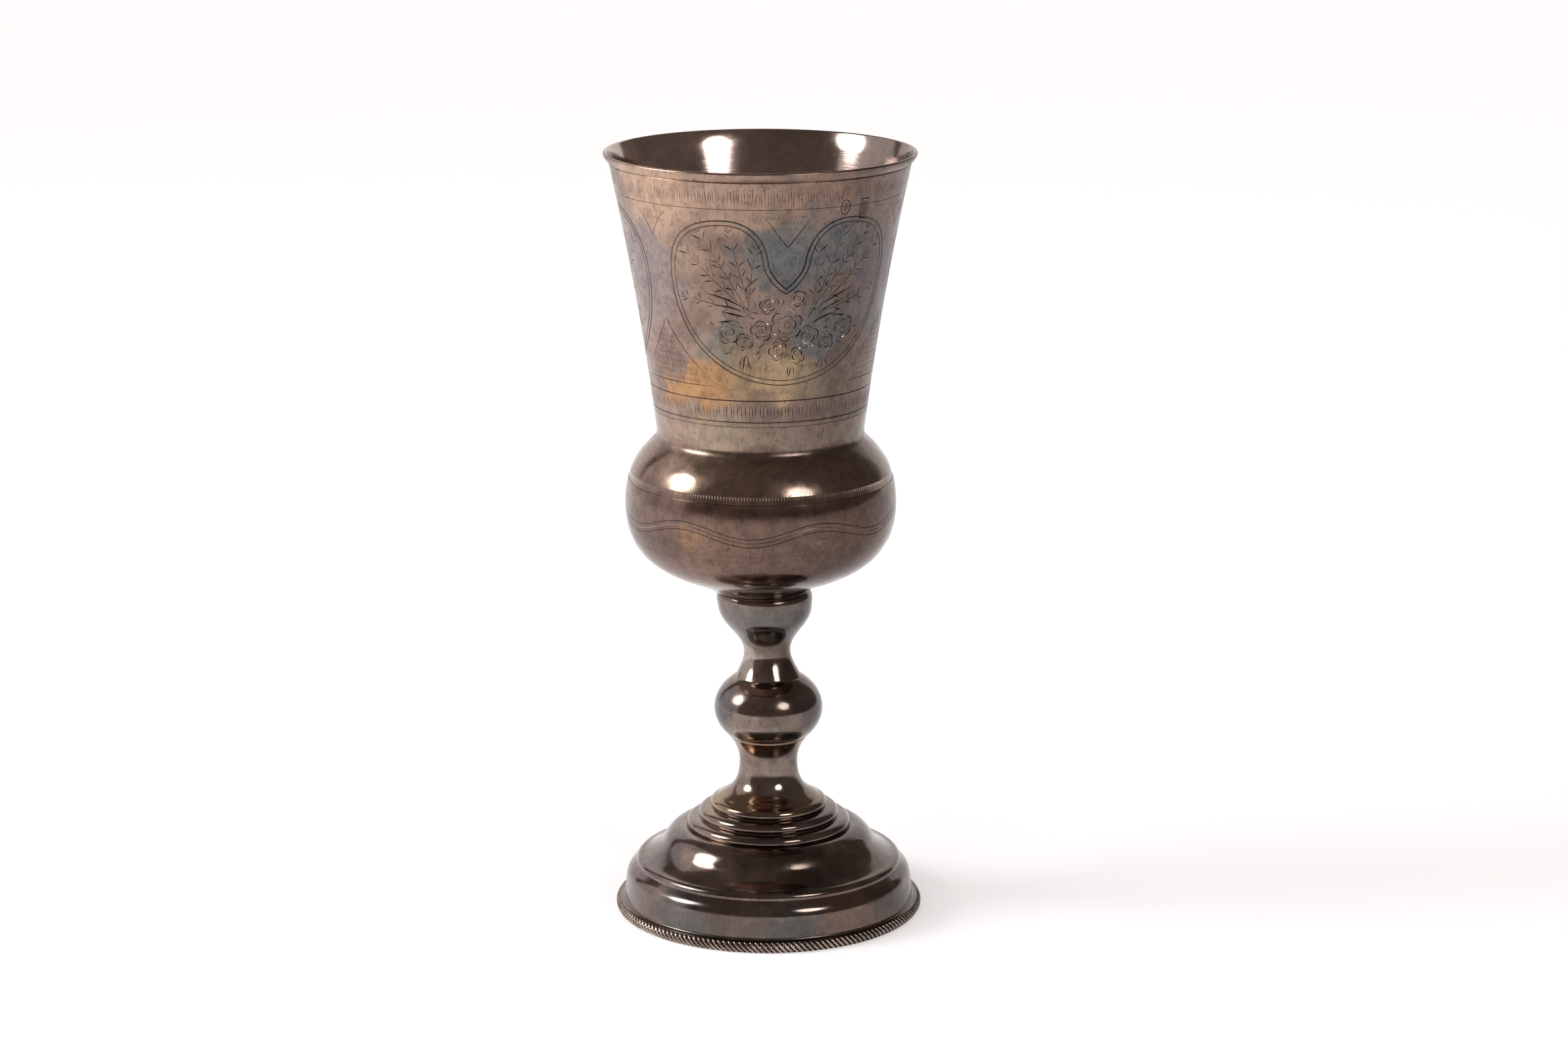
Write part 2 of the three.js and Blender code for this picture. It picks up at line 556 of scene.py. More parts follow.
@dataclass
class Bowl:
    """Beaker on a bulb, raised from one sheet, with a rolled lip."""

    shift: float = -0.75
    seat: float = 62.3
    seat_radius: float = 9.0
    wall: float = 0.85
    bulb_radius: float = 25.3
    bulb_height: float = 79.0
    neck_radius: float = 19.3
    neck_height: float = 93.0
    lip_foot: float = 142.2
    lip_root: float = 143.0
    lip_radius: float = 28.83
    lip_edge: float = 0.34
    lip_inside: float = 143.8
    thin_from: float = 133.0
    thinning: float = 0.5
    height: float = 145.0
    flare_slope: float = 6.0
    flare_curve: float = 2.3
    ring_lines: tuple[tuple[float, float], ...] = (
        (97.4, 0.05), (98.3, 0.09), (102.4, 0.1), (138.2, 0.05),
    )
    milled_low: float = 84.0
    milled_high: float = 85.4
    milled_depth: float = 0.22
    smooth_from: float = 66.0
    shallowest_cut: float = 0.03
    deepest_cut: float = 0.6
    facets: int = 180

    def beaker(self, height: float) -> float:
        """Gives the beaker's outer radius at a height."""
        t = (height - self.neck_height) / (self.lip_foot - self.neck_height)
        return self.neck_radius + self.flare_slope * t + self.flare_curve * t * t

    def bulb(self, outline: Outline, inset: float, steps: int) -> Outline:
        """Draws the bulb from the stem up to the neck.

        Args:
            outline: Profile that ends at the bulb's foot.
            inset: Distance inside the outer face.
            steps: Straight pieces in each of the two curves.

        Returns:
            The outline.
        """
        side = self.bulb_radius - inset
        outline.curve(
            (12.6 - inset, 65.7 + inset / 2), (side, 65.6 + inset), (side, self.bulb_height), steps
        )
        neck = self.neck_radius - inset
        outline.curve((side, 85.8), (22.9 - inset, 88.6), (neck + 0.55, 91.4), steps)
        return outline.curve(
            (neck + 0.2, 91.7), (neck - 0.05, 92.2), (neck, self.neck_height), 3
        )

    def outside(self) -> list[Point]:
        """Draws the outer profile from the seat to the root of the lip.

        Returns:
            Its points, from the lowest up, with the turned lines and the milled band.
        """
        bulb = self.bulb(Outline(self.seat_radius, self.seat), 0, 26).points
        low, high = self.milled_low, self.milled_high
        clear = [p for p in bulb if p[1] < low - 0.2 or p[1] > high + 0.2]
        band = [(self.plain_radius(z) - inset, z) for z, inset in (
            (low - 0.03, 0.0), (low, self.milled_depth), (high, 0.03), (high + 0.04, 0.0),
        )]
        rows = int((self.lip_root - self.neck_height) / 0.9)
        heights = [self.neck_height + (self.lip_root - self.neck_height) * i / rows for i in range(1, rows)]
        wall = [
            (self.beaker(z), z) for z in heights if all(abs(z - line) > 0.4 for line, _ in self.ring_lines)
        ]
        for z, half in self.ring_lines:
            for side in (-half, half):
                wall.append((self.beaker(z + side), z + side))
            wall.append((self.beaker(z) - half, z))
        return sorted(clear + band + wall, key=lambda point: point[1])

    def outline(self) -> Outline:
        """Draws the whole section.

        Returns:
            The outline from the axis out, over the lip and back inside.
        """
        whole = Outline(0, self.seat)
        whole.points += self.outside()
        edge = (self.lip_radius - self.lip_edge, self.height - self.lip_edge)
        root = self.beaker(self.lip_root)
        whole.line(root, self.lip_root).line(root - 0.08, self.lip_root + 0.12)
        whole.line(root + 0.14, self.lip_root + 0.26)
        swell = (root + 0.4, self.lip_root + 0.55)
        roll = (self.lip_radius - 0.2, self.lip_root + 0.95)
        whole.curve(swell, roll, (self.lip_radius - 0.03, self.lip_root + 1.5), 7)
        whole.arc(edge, self.lip_edge, -8, 165, 9)
        for i in range(24):
            z = self.lip_inside + (self.neck_height - self.lip_inside) * i / 23
            thin = max(0.0, (z - self.thin_from) / (self.lip_inside - self.thin_from)) ** 1.5
            whole.line(self.beaker(z) - self.wall + self.thinning * thin, z)
        hollow = self.bulb(Outline(7, self.seat + self.wall), self.wall, 12)
        whole.points += hollow.points[-2::-1]
        return whole.line(0, self.seat + self.wall)

    def plain_radius(self, height: float) -> float:
        """Gives the outer radius at a height, without the engraved lines.

        Args:
            height: Height in millimetres.

        Returns:
            The radius in millimetres.
        """
        if height >= self.neck_height:
            return self.beaker(height)
        radii, heights = zip(*self.bulb(Outline(self.seat_radius, self.seat), 0, 60).points)
        return float(np.interp(height, heights, radii))

    def on_surface(self, angle: float, height: float, lift: float = 0.0) -> Vector:
        """Gives a point of the outer face.

        Args:
            angle: Degrees round from the front, to the right.
            height: Height in millimetres.
            lift: Distance off the face.

        Returns:
            The point in metres, before the bowl's shift.
        """
        a = math.radians(angle)
        r = self.plain_radius(height) + lift
        return Vector((r * math.sin(a), -r * math.cos(a), height)) * MM

    def build(self, engraving: "Engraving", finishes: dict[Face, SilverFinish]) -> bpy.types.Object:
        """Turns the bowl, engraves it and shades it.

        Args:
            engraving: The cuts to make.
            finishes: Finish of each kind of face.

        Returns:
            The finished piece.
        """
        bm = turned(self.outline(), self.facets)
        crease(bm, 40)
        made = piece("silver_bowl", bm, [finishes[kind].material() for kind in Face])
        engraving.carve(made)
        self.shade(made)
        made.data.transform(Matrix.Translation((self.shift * MM, 0, 0)))
        hand_over(made, "bowl")
        return made

    def shade(self, made: bpy.types.Object) -> None:
        """Keeps the engraved face as smooth as the turned one, with crisp cuts.

        Args:
            made: The carved bowl, before its shift.
        """
        mesh = made.data
        count = len(mesh.vertices)
        place = np.empty(count * 3)
        mesh.vertices.foreach_get("co", place)
        place = place.reshape(-1, 3) / MM
        radii, heights = zip(*self.bulb(Outline(self.seat_radius, self.seat), 0, 60).points)
        wall = np.linspace(self.neck_height, self.lip_root, 80)
        heights = np.array([*heights, *wall[1:]])
        radii = np.array([*radii, *(self.beaker(z) for z in wall[1:])])
        slope = np.interp(place[:, 2], heights, np.gradient(radii, heights))
        out = np.hypot(place[:, 0], place[:, 1])
        depth = np.interp(place[:, 2], heights, radii) - out
        level = (place[:, 2] > self.smooth_from) & (place[:, 2] < self.lip_root - 0.02)
        zone = level & (depth < self.deepest_cut)
        normal = np.column_stack((place[:, 0] / out.clip(1e-6), place[:, 1] / out.clip(1e-6), -slope))
        normal /= np.linalg.norm(normal, axis=1)[:, None]
        corner = np.empty(len(mesh.loops), dtype=np.int32)
        mesh.loops.foreach_get("vertex_index", corner)
        custom = np.zeros((len(mesh.loops), 3))
        for face in mesh.polygons:
            loops = slice(face.loop_start, face.loop_start + face.loop_total)
            verts = corner[loops]
            if not zone[verts].all():
                inward = face.normal.xy.dot(face.center.xy) < -0.1 * face.center.xy.length
                floor = face.normal.z > 0.5 and face.center.z < (self.seat + 5) * MM
                face.material_index = (Face.LINING if inward or floor else Face.SILVER).value
                continue
            if depth[verts].max() > self.shallowest_cut:
                if face.material_index == Face.SILVER.value and place[verts, 2].min() > self.neck_height:
                    face.material_index = Face.DARK_CUT.value
                face.use_smooth = False
            else:
                face.use_smooth = True
                custom[loops] = normal[verts]
        mesh.normals_split_custom_set(custom.tolist())


@dataclass
class Stroke:
    """One cut of the graver, as angles in degrees and heights in millimetres."""

    points: list[Point]
    width: float
    closed: bool = False
    tapered: bool = True


@dataclass
class Engraving:
    """The ornament cut into the bowl: cartouches with flowers, matting, friezes, waves and punches."""

    bowl: Bowl
    cartouches: int = 3
    first_centre: float = 11.5
    reference_radius: float = 23.4
    border_top: float = 137.3
    field_foot: float = 105.3
    upper_ticks: int = 330
    upper_frieze: float = 138.55
    lower_ticks: int = 190
    lower_frieze: tuple[float, float] = (98.8, 101.9)
    milled_ticks: int = 276
    milled_line: tuple[float, float] = (84.1, 85.35)
    zigzags: int = 240
    zigzag_rows: tuple[float, float] = (74.1, 73.0)
    zigzag_height: float = 0.6
    wave_count: int = 6
    wave_crest: float = 26.0
    wave_height: float = 79.0
    wave_swing: float = 1.25
    wave_gap: float = 0.75
    oval_stamp: Point = (35.0, 138.0)
    oval_half: Point = (0.85, 1.35)
    oblong_stamp: Point = (44.6, 137.4)
    oblong_half: Point = (0.75, 1.8)
    hatch_gap: float = 0.26
    seed: int = 7
    strokes: dict[Cut, list[Stroke]] = field(default_factory=lambda: {cut: [] for cut in Cut})

    def __post_init__(self) -> None:
        """Starts the graver's hand, so that each run cuts the same."""
        self.hand = random.Random(self.seed)

    def cut(
        self, kind: Cut, points: list[Point], width: float, closed: bool = False, tapered: bool = True
    ) -> None:
        """Adds one stroke to a pass.

        Args:
            kind: Pass that makes it.
            points: Angles and heights along it.
            width: Half width of the cut in millimetres.
            closed: True for a line that runs back to its start.
            tapered: True for a stroke that is finest at its ends.
        """
        self.strokes[kind].append(Stroke(points, width, closed, tapered))

    def tick(self, kind: Cut, angle: float, low: float, high: float, width: float) -> None:
        """Adds one short upright stroke."""
        sway = self.hand.uniform(-0.12, 0.12)
        self.cut(kind, [(angle - sway, low), (angle, (low + high) / 2), (angle + sway, high)], width)

    # The cartouche's outlines

    def heart(self, grow: float) -> list[Point]:
        """Draws the heart-shaped frame about its own axis.

        Args:
            grow: Distance in millimetres outside the main line.

        Returns:
            Angles and heights round the closed line.
        """
        side = Outline(0, 123.4)
        side.curve((4.9, 125.1), (7.6, 126.9), (8.0, 128.6), 8)
        side.curve((9.0, 132.6), (15.0, 136.1), (26.0, 136.1), 14)
        side.curve((44.0, 136.1), (52.3, 131.5), (52.3, 124.5), 16)
        side.curve((52.3, 112.5), (27.0, 105.6), (0.0, 105.4), 24)
        whole = side.points + [(-a, z) for a, z in side.points[-2:0:-1]]
        degree = math.radians(self.reference_radius)
        grown = []
        for i, (angle, height) in enumerate(whole):
            before, after = whole[i - 1], whole[(i + 1) % len(whole)]
            along = Vector(((after[0] - before[0]) * degree, after[1] - before[1]))
            along.normalize()
            grown.append((angle - along.y * grow / degree, height + along.x * grow))
        return grown

    def around(self, points: list[Point], centre: float) -> list[Point]:
        """Moves a drawing round to the axis of one cartouche."""
        return [(centre + angle, height) for angle, height in points]

    def sprig(self, points: list[Point], centre: float) -> list[Point]:
        """Turns millimetres from a cartouche's axis into angles round the bowl."""
        degree = math.radians(self.reference_radius)
        return [(centre + x / degree, height) for x, height in points]

    # The parts of the drawing

    def flower(self, centre: float, middle: Point, size: float, petals: int, turn: float) -> None:
        """Cuts a rose: two rings of petals, a curled heart and fine shading.

        Args:
            centre: Axis of the cartouche in degrees.
            middle: Flower's middle, in millimetres from that axis and in height.
            size: Radius of the flower.
            petals: Petals in the outer ring.
            turn: Angle of the first petal in radians.
        """

        def at(reach: float, a: float) -> Point:
            """Gives a point at a share of the size and an angle."""
            return (middle[0] + size * reach * math.cos(a), middle[1] + size * reach * math.sin(a))

        for ring, (reach, count) in enumerate(((1.0, petals), (0.6, petals - 1))):
            step = math.tau / count
            for i in range(count):
                first = turn + ring + step * (i - 0.54 + self.hand.uniform(-0.06, 0.06))
                swell = self.hand.uniform(0.24, 0.34)
                edge = []
                for k in range(8):
                    bow = swell * math.sin(math.pi * k / 7) ** 0.7
                    edge.append(at(reach * (1 - swell + bow), first + 1.08 * step * k / 7))
                self.cut(Cut.BRIGHT if i % 2 else Cut.DARK_PETAL, self.sprig(edge, centre), 0.13)
                if ring:
                    continue
                for k in range(4):
                    a = first + step * (0.3 + 0.17 * k)
                    self.cut(
                        Cut.LEAF, self.sprig([at(0.66, a), at(0.74, a + 0.03), at(0.84, a)], centre), 0.06
                    )
        curl = [at(0.08 + 0.02 * k, turn + 0.75 * k) for k in range(12)]
        self.cut(Cut.STEM, self.sprig(curl, centre), 0.08)

    def leaf(self, centre: float, foot: Point, direction: float, length: float, width: float) -> None:
        """Cuts one pointed leaf as a single swelling stroke.

        Args:
            centre: Axis of the cartouche in degrees.
            foot: Where it starts, in millimetres.
            direction: Direction in radians.
            length: Length in millimetres.
            width: Half width of the stroke.
        """
        bend = self.hand.uniform(-0.25, 0.25)
        points = []
        for i in range(5):
            t = i / 4
            a = direction + bend * t
            points.append((foot[0] + length * t * math.cos(a), foot[1] + length * t * math.sin(a)))
        self.cut(Cut.LEAF, self.sprig(points, centre), width)

    def leafy_stem(self, centre: float, foot: Point, bend: Point, tip: Point, pairs: int) -> None:
        """Cuts a stem with leaves on both sides and a bud at its tip.

        Args:
            centre: Axis of the cartouche in degrees.
            foot: Start of the stem in millimetres.
            bend: Point that the stem is drawn towards.
            tip: End of the stem.
            pairs: Leaves on each side.
        """
        line = []
        for i in range(15):
            t = i / 14
            line.append(
                tuple(
                    (1 - t) ** 2 * foot[k] + 2 * t * (1 - t) * bend[k] + t * t * tip[k] for k in (0, 1)
                )
            )
        self.cut(Cut.STEM, self.sprig(line, centre), 0.08)
        for i in range(pairs):
            at = 4 + round(9 * i / max(1, pairs - 1))
            ahead = math.atan2(line[at][1] - line[at - 1][1], line[at][0] - line[at - 1][0])
            for side in (-1, 1):
                out = ahead + side * self.hand.uniform(0.55, 0.85)
                foot_of_leaf = (line[at][0] + 0.3 * math.cos(out), line[at][1] + 0.3 * math.sin(out))
                length = self.hand.uniform(1.2, 2.0)
                self.leaf(centre, foot_of_leaf, out, length, self.hand.uniform(0.09, 0.15))
        for side in (-0.5, 0.0, 0.5):
            ahead = math.atan2(tip[1] - line[-3][1], tip[0] - line[-3][0]) + side
            bud = (tip[0] + 0.35 * math.cos(ahead), tip[1] + 0.35 * math.sin(ahead))
            self.leaf(centre, bud, ahead, 1.0, 0.09)

    def bouquet(self, centre: float) -> None:
        """Cuts the spray of flowers and leafy stems inside one heart.

        Args:
            centre: Axis of the cartouche in degrees.
        """
        flowers = (
            ((0.3, 116.7), 3.0, 6), ((4.6, 114.3), 2.2, 5), ((-4.4, 115.6), 2.0, 5),
            ((-2.9, 120.5), 1.8, 5), ((-10.8, 115.2), 2.1, 5), ((12.4, 115.6), 2.2, 5),
            ((2.4, 121.6), 1.5, 5), ((-7.6, 113.6), 1.6, 5), ((-1.2, 111.9), 1.8, 5),
            ((2.6, 110.9), 1.6, 5), ((8.6, 113.0), 1.6, 5),
        )
        for i, (middle, size, petals) in enumerate(flowers):
            self.flower(centre, middle, size, petals, 0.4 + 1.3 * i)
        fillers = 90
        for i in range(fillers):
            a = 2.4 * i
            reach = math.sqrt((i + 0.5) / fillers)
            spot = (0.6 + 14.5 * reach * math.cos(a), 115.3 + 5.6 * reach * math.sin(a))
            if all(math.dist(spot, middle) > size + 0.35 for middle, size, _ in flowers):
                direction = a + self.hand.uniform(-0.6, 0.6)
                self.leaf(centre, spot, direction, self.hand.uniform(0.9, 1.5), 0.1)
        left = (-6.4, 118.9)
        right = (5.2, 118.6)
        stems = (
            (left, (-11.5, 123.0), (-18.0, 130.6), 6), (left, (-10.4, 126.0), (-14.8, 133.4), 6),
            (left, (-8.4, 126.5), (-9.6, 133.6), 5), (left, (-6.4, 124.5), (-5.4, 130.6), 4),
            (left, (-13.0, 120.6), (-18.6, 121.6), 4), (right, (11.2, 123.4), (17.9, 130.9), 6),
            (right, (10.0, 126.5), (14.6, 133.4), 6), (right, (8.0, 126.5), (9.8, 133.6), 5),
            (right, (5.6, 124.6), (5.6, 130.6), 4), (right, (12.2, 119.9), (18.4, 122.4), 4),
        )
        for foot, bend, tip, pairs in stems:
            drift = self.hand.uniform(-0.5, 0.5)
            self.leafy_stem(centre, (foot[0] + drift, foot[1] + 0.4 * abs(drift)), bend, tip, pairs)
        broad = (
            ((-7.6, 120.0), 2.6, 7.4, 0.17), ((-7.9, 119.4), 2.75, 5.2, 0.14),
            ((-7.4, 118.3), 2.95, 4.2, 0.2), ((-9.4, 117.6), 3.3, 3.2, 0.15),
            ((5.4, 117.0), 0.48, 4.9, 0.2), ((6.9, 120.2), 0.5, 6.8, 0.17),
            ((7.3, 119.4), 0.3, 5.0, 0.14), ((9.4, 117.9), 0.1, 3.6, 0.15),
        )
        for foot, direction, length, width in broad:
            self.leaf(centre, foot, direction, length, width)
        for x, z, length in ((-7.7, 110.9, 3.0), (1.4, 108.9, 1.9), (8.1, 110.3, 2.5)):
            for spread in (-0.3, 0.0, 0.3):
                down = -math.pi / 2 + spread
                self.leaf(centre, (x + 1.6 * spread, z), down, length - abs(spread), 0.15)

    def matting(
        self, inside: Callable[[float, float], bool], centre: float, low: float, high: float
    ) -> None:
        """Fills a field between the cartouches with rows of short upright cuts.

        Args:
            inside: Test of an angle from the field's axis and a height.
            centre: Axis of the field in degrees.
            low: Lowest row in millimetres.
            high: Highest row.
        """
        reach = 21.0
        z = low
        while z < high:
            angle = -reach
            while angle < reach:
                at = angle + self.hand.uniform(-0.3, 0.3)
                top = z + self.hand.uniform(0.65, 1.0)
                if inside(at, z) and inside(at, top):
                    self.tick(Cut.MATTING, centre + at, z, top, 0.06)
                angle += 1.05
            z += 1.1

    # The whole ornament

    def draw(self) -> None:
        """Draws the ornament all the way round the bowl."""
        for i in range(self.cartouches):
            centre = self.first_centre + 360 * i / self.cartouches
            self.cartouche(centre)
        self.friezes()
        self.waves()
        self.stamps()

    def cartouche(self, centre: float) -> None:
        """Cuts one cartouche with its frame, its notch and the fields at its right.

        Args:
            centre: Axis of the cartouche in degrees.
        """
        self.cut(Cut.FRAME, self.around(self.heart(0), centre), 0.15, closed=True, tapered=False)
        self.cut(Cut.INNER_FRAME, self.around(self.heart(-0.85), centre), 0.12, closed=True, tapered=False)
        notch = Outline(-10.2, self.border_top).curve((-6.6, 135.2), (-3.6, 133.0), (0.0, 131.2), 10)
        notch.curve((3.6, 133.0), (6.6, 135.2), (10.2, self.border_top), 10)
        self.cut(Cut.BORDER, self.around(notch.points, centre), 0.11)
        between = centre + 180 / self.cartouches
        top = Outline(-9.0, self.border_top).curve((-6.0, 136.4), (-2.0, 134.4), (0.0, 132.2), 8)
        top.curve((2.0, 134.4), (6.0, 136.4), (9.0, self.border_top), 8)
        self.cut(Cut.BORDER, self.around(top.points, between), 0.11)
        low = Outline(-26.0, self.field_foot).curve((-16.0, 108.6), (-7.0, 111.8), (0.0, 116.8), 12)
        low.curve((7.0, 111.8), (16.0, 108.6), (26.0, self.field_foot), 12)
        self.cut(Cut.BORDER, self.around(low.points, between), 0.11)
        base = [(-26 + 52 * k / 16, self.field_foot - 0.4) for k in range(17)]
        self.cut(Cut.STEM, self.around(base, between), 0.1)
        self.matting(lambda a, z: abs(a) < (z - 131.9) * 1.62, centre, 132.0, self.border_top - 0.1)
        self.matting(lambda a, z: abs(a) < (z - 133.0) * 1.9, between, 133.0, self.border_top - 0.1)
        self.matting(lambda a, z: abs(a) < (116.0 - z) * 1.85, between, self.field_foot, 116.0)
        self.bouquet(centre)

    def friezes(self) -> None:
        """Cuts the bands of upright strokes under the lip, above the neck and on the bulb."""
        for i in range(self.upper_ticks):
            angle = 360 * (i + self.hand.uniform(-0.3, 0.3)) / self.upper_ticks
            low = self.upper_frieze + self.hand.uniform(0, 0.8)
            high = low + self.hand.uniform(2.4, 3.4)
            self.tick(Cut.MILLING, angle, low, high, self.hand.uniform(0.05, 0.08))
        for i in range(self.lower_ticks):
            angle = 360 * (i + self.hand.uniform(-0.25, 0.25)) / self.lower_ticks
            low = self.lower_frieze[0] + self.hand.uniform(0, 0.5)
            high = self.lower_frieze[1] - self.hand.uniform(0, 0.6)
            self.tick(Cut.MILLING, angle, low, high, self.hand.uniform(0.07, 0.12))
        low, high = self.milled_line
        for i in range(self.milled_ticks):
            angle = 360 * i / self.milled_ticks
            tick = [(angle, low), (angle, low + 0.6), (angle, high)]
            self.cut(Cut.ROULETTE, tick, 0.17, tapered=False)
        tall = self.zigzag_height
        for i in range(self.zigzags):
            angle = 360 * i / self.zigzags
            for row in self.zigzag_rows:
                zigzag = [(angle, row), (angle + 0.45, row + tall / 2), (angle, row + tall)]
                self.cut(Cut.MATTING, zigzag, 0.07)

    def waves(self) -> None:
        """Cuts the three wavy lines and the small sprigs under their crests."""
        for i, kind in enumerate((Cut.WAVE, Cut.BRIGHT, Cut.WAVE)):
            line = []
            for angle in range(0, 360, 2):
                turn = math.radians(self.wave_count * (angle - self.wave_crest))
                line.append((angle, self.wave_height - self.wave_gap * i + self.wave_swing * math.cos(turn)))
            self.cut(kind, line, 0.085, closed=True, tapered=False)
        for i in range(self.wave_count):
            crest = self.wave_crest + 360 / self.wave_count * i
            for side in (-1, 0, 1):
                tip = (crest + 2.6 * side, 77.3 - 0.5 * abs(side))
                self.cut(Cut.BRIGHT, [(crest + 0.4 * side, 76.1), (crest + 1.3 * side, 76.8), tip], 0.12)

    def stamps(self) -> None:
        """Presses two small hatched punches near the lip, an oval and an oblong."""
        degree = math.radians(self.reference_radius)
        middle, height = self.oval_stamp
        half, tall = self.oval_half
        oval = []
        for i in range(20):
            a = math.tau * i / 20
            oval.append((middle + half / degree * math.cos(a), height + tall * math.sin(a)))
        self.cut(Cut.STAMP, oval, 0.16, closed=True, tapered=False)
        middle, height = self.oblong_stamp
        half, tall = self.oblong_half
        corners = ((-1, -1), (1, -1), (1, 1), (-1, 1))
        oblong = [(middle + x * half / degree, height + z * tall) for x, z in corners]
        self.cut(Cut.STAMP, oblong, 0.18, closed=True, tapered=False)
        for i, in_oval in enumerate((0.45, 0.75, 0.75, 0.45)):
            across = (i - 1.5) * self.hatch_gap / degree
            for (middle, height), reach in ((self.oblong_stamp, 1.35), (self.oval_stamp, in_oval)):
                hatch = [(middle + across, height + side * reach) for side in (-1, 0, 1)]
                self.cut(Cut.STAMP, hatch, 0.11, tapered=False)

    # Carving

    def cutter(self, kind: Cut, materials: Sequence[bpy.types.Material]) -> bpy.types.Object:
        """Makes the rods that cut one pass.

        Args:
            kind: Pass to make.
            materials: Materials of the bowl, one of which the cuts take on.

        Returns:
            A mesh object of closed tapered rods lying on the bowl's face.
        """
        curve = bpy.data.curves.new(kind.value, "CURVE")
        curve.dimensions = "3D"
        curve.bevel_depth = MM
        curve.bevel_resolution = 0
        curve.use_fill_caps = True
        for stroke in self.strokes[kind]:
            spline = curve.splines.new("POLY")
            spline.points.add(len(stroke.points) - 1)
            spline.use_cyclic_u = stroke.closed
            last = len(stroke.points) - 1
            for i, (angle, height) in enumerate(stroke.points):
                swell = math.sin(math.pi * (0.08 + 0.84 * i / last)) if stroke.tapered else 1.0
                place = self.bowl.on_surface(angle, height, 0.15 * stroke.width)
                spline.points[i].co = (*place, 1)
                spline.points[i].radius = stroke.width * swell
        rods = bpy.data.objects.new(kind.value, curve)
        bpy.context.scene.collection.objects.link(rods)
        graph = bpy.context.evaluated_depsgraph_get()
        mesh = bpy.data.meshes.new_from_object(rods.evaluated_get(graph))
        bpy.data.objects.remove(rods)
        bm = bmesh.new()
        bm.from_mesh(mesh)
        bmesh.ops.remove_doubles(bm, verts=bm.verts, dist=0.0005 * MM)
        bmesh.ops.recalc_face_normals(bm, faces=bm.faces)
        tone = CUT_FACES.get(kind, Face.DARK_CUT)
        for face in bm.faces:
            face.material_index = tone.value
        return piece(kind.value, bm, materials)

    def carve(self, made: bpy.types.Object) -> None:
        """Cuts every pass into the bowl and leaves one plain mesh.

        Args:
            made: The turned bowl, before its shift.
        """
        materials = list(made.data.materials)
        cutters = [self.cutter(kind, materials) for kind in Cut if self.strokes[kind]]
        for solid in cutters:
            step = made.modifiers.new(solid.name, "BOOLEAN")
            step.operation = "DIFFERENCE"
            step.solver = "MANIFOLD"
            step.object = solid
        graph = bpy.context.evaluated_depsgraph_get()
        carved = bpy.data.meshes.new_from_object(made.evaluated_get(graph))
        made.modifiers.clear()
        made.data = carved
        for solid in cutters:
            bpy.data.objects.remove(solid)


@dataclass
class UpperStem:
    """Turned baluster between the knop and the bowl."""

    foot: float = 45.4
    top: float = 62.3
    foot_shift: float = 0.65
    top_shift: float = -0.15
    waist: float = 4.4
    facets: int = 128

    def build(self, silver: SilverFinish) -> bpy.types.Object:
        """Turns the baluster and leans it.

        Args:
            silver: Its finish.

        Returns:
            The finished piece.
        """
        outline = Outline(0, self.foot).line(6.2, self.foot).line(6.1, self.foot + 0.12)
        outline.curve((5.35, 47.0), (self.waist, 48.5), (self.waist, 50.2), 18)
        outline.curve((self.waist, 53.6), (8.35, 55.3), (8.8, 58.6), 22)
        outline.curve((8.95, 59.8), (9.05, 60.4), (9.0, 60.9), 6)
        outline.curve((8.95, 61.5), (8.75, 61.9), (8.4, 62.2), 7)
        outline.line(8.4, self.top).line(0, self.top)
        bm = turned(outline, self.facets)
        crease(bm, 32)
        lean(bm, self.foot, self.top, self.foot_shift, self.top_shift)
        made = piece("silver_upper_stem", bm, (silver.material(),))
        hand_over(made, "upper_stem")
        return made


@dataclass
class Knop:
    """Ball knop in the middle of the stem."""

    foot: float = 33.9
    top: float = 45.4
    middle: float = 39.2
    radius: float = 10.25
    half: float = 7.8
    shift: float = 0.65
    facets: int = 128

    def build(self, silver: SilverFinish) -> bpy.types.Object:
        """Turns the knop.

        Args:
            silver: Its finish.

        Returns:
            The finished piece.
        """
        outline = Outline(0, self.foot)
        start = math.asin((self.foot - self.middle) / self.half)
        stop = math.asin((self.top - self.middle) / self.half)
        for i in range(41):
            a = start + (stop - start) * i / 40
            outline.line(self.radius * math.cos(a), self.middle + self.half * math.sin(a))
        outline.line(0, self.top)
        bm = turned(outline, self.facets)
        crease(bm, 32)
        bmesh.ops.translate(bm, vec=(self.shift * MM, 0, 0), verts=bm.verts)
        made = piece("silver_knop", bm, (silver.material(),))
        hand_over(made, "knop")
        return made


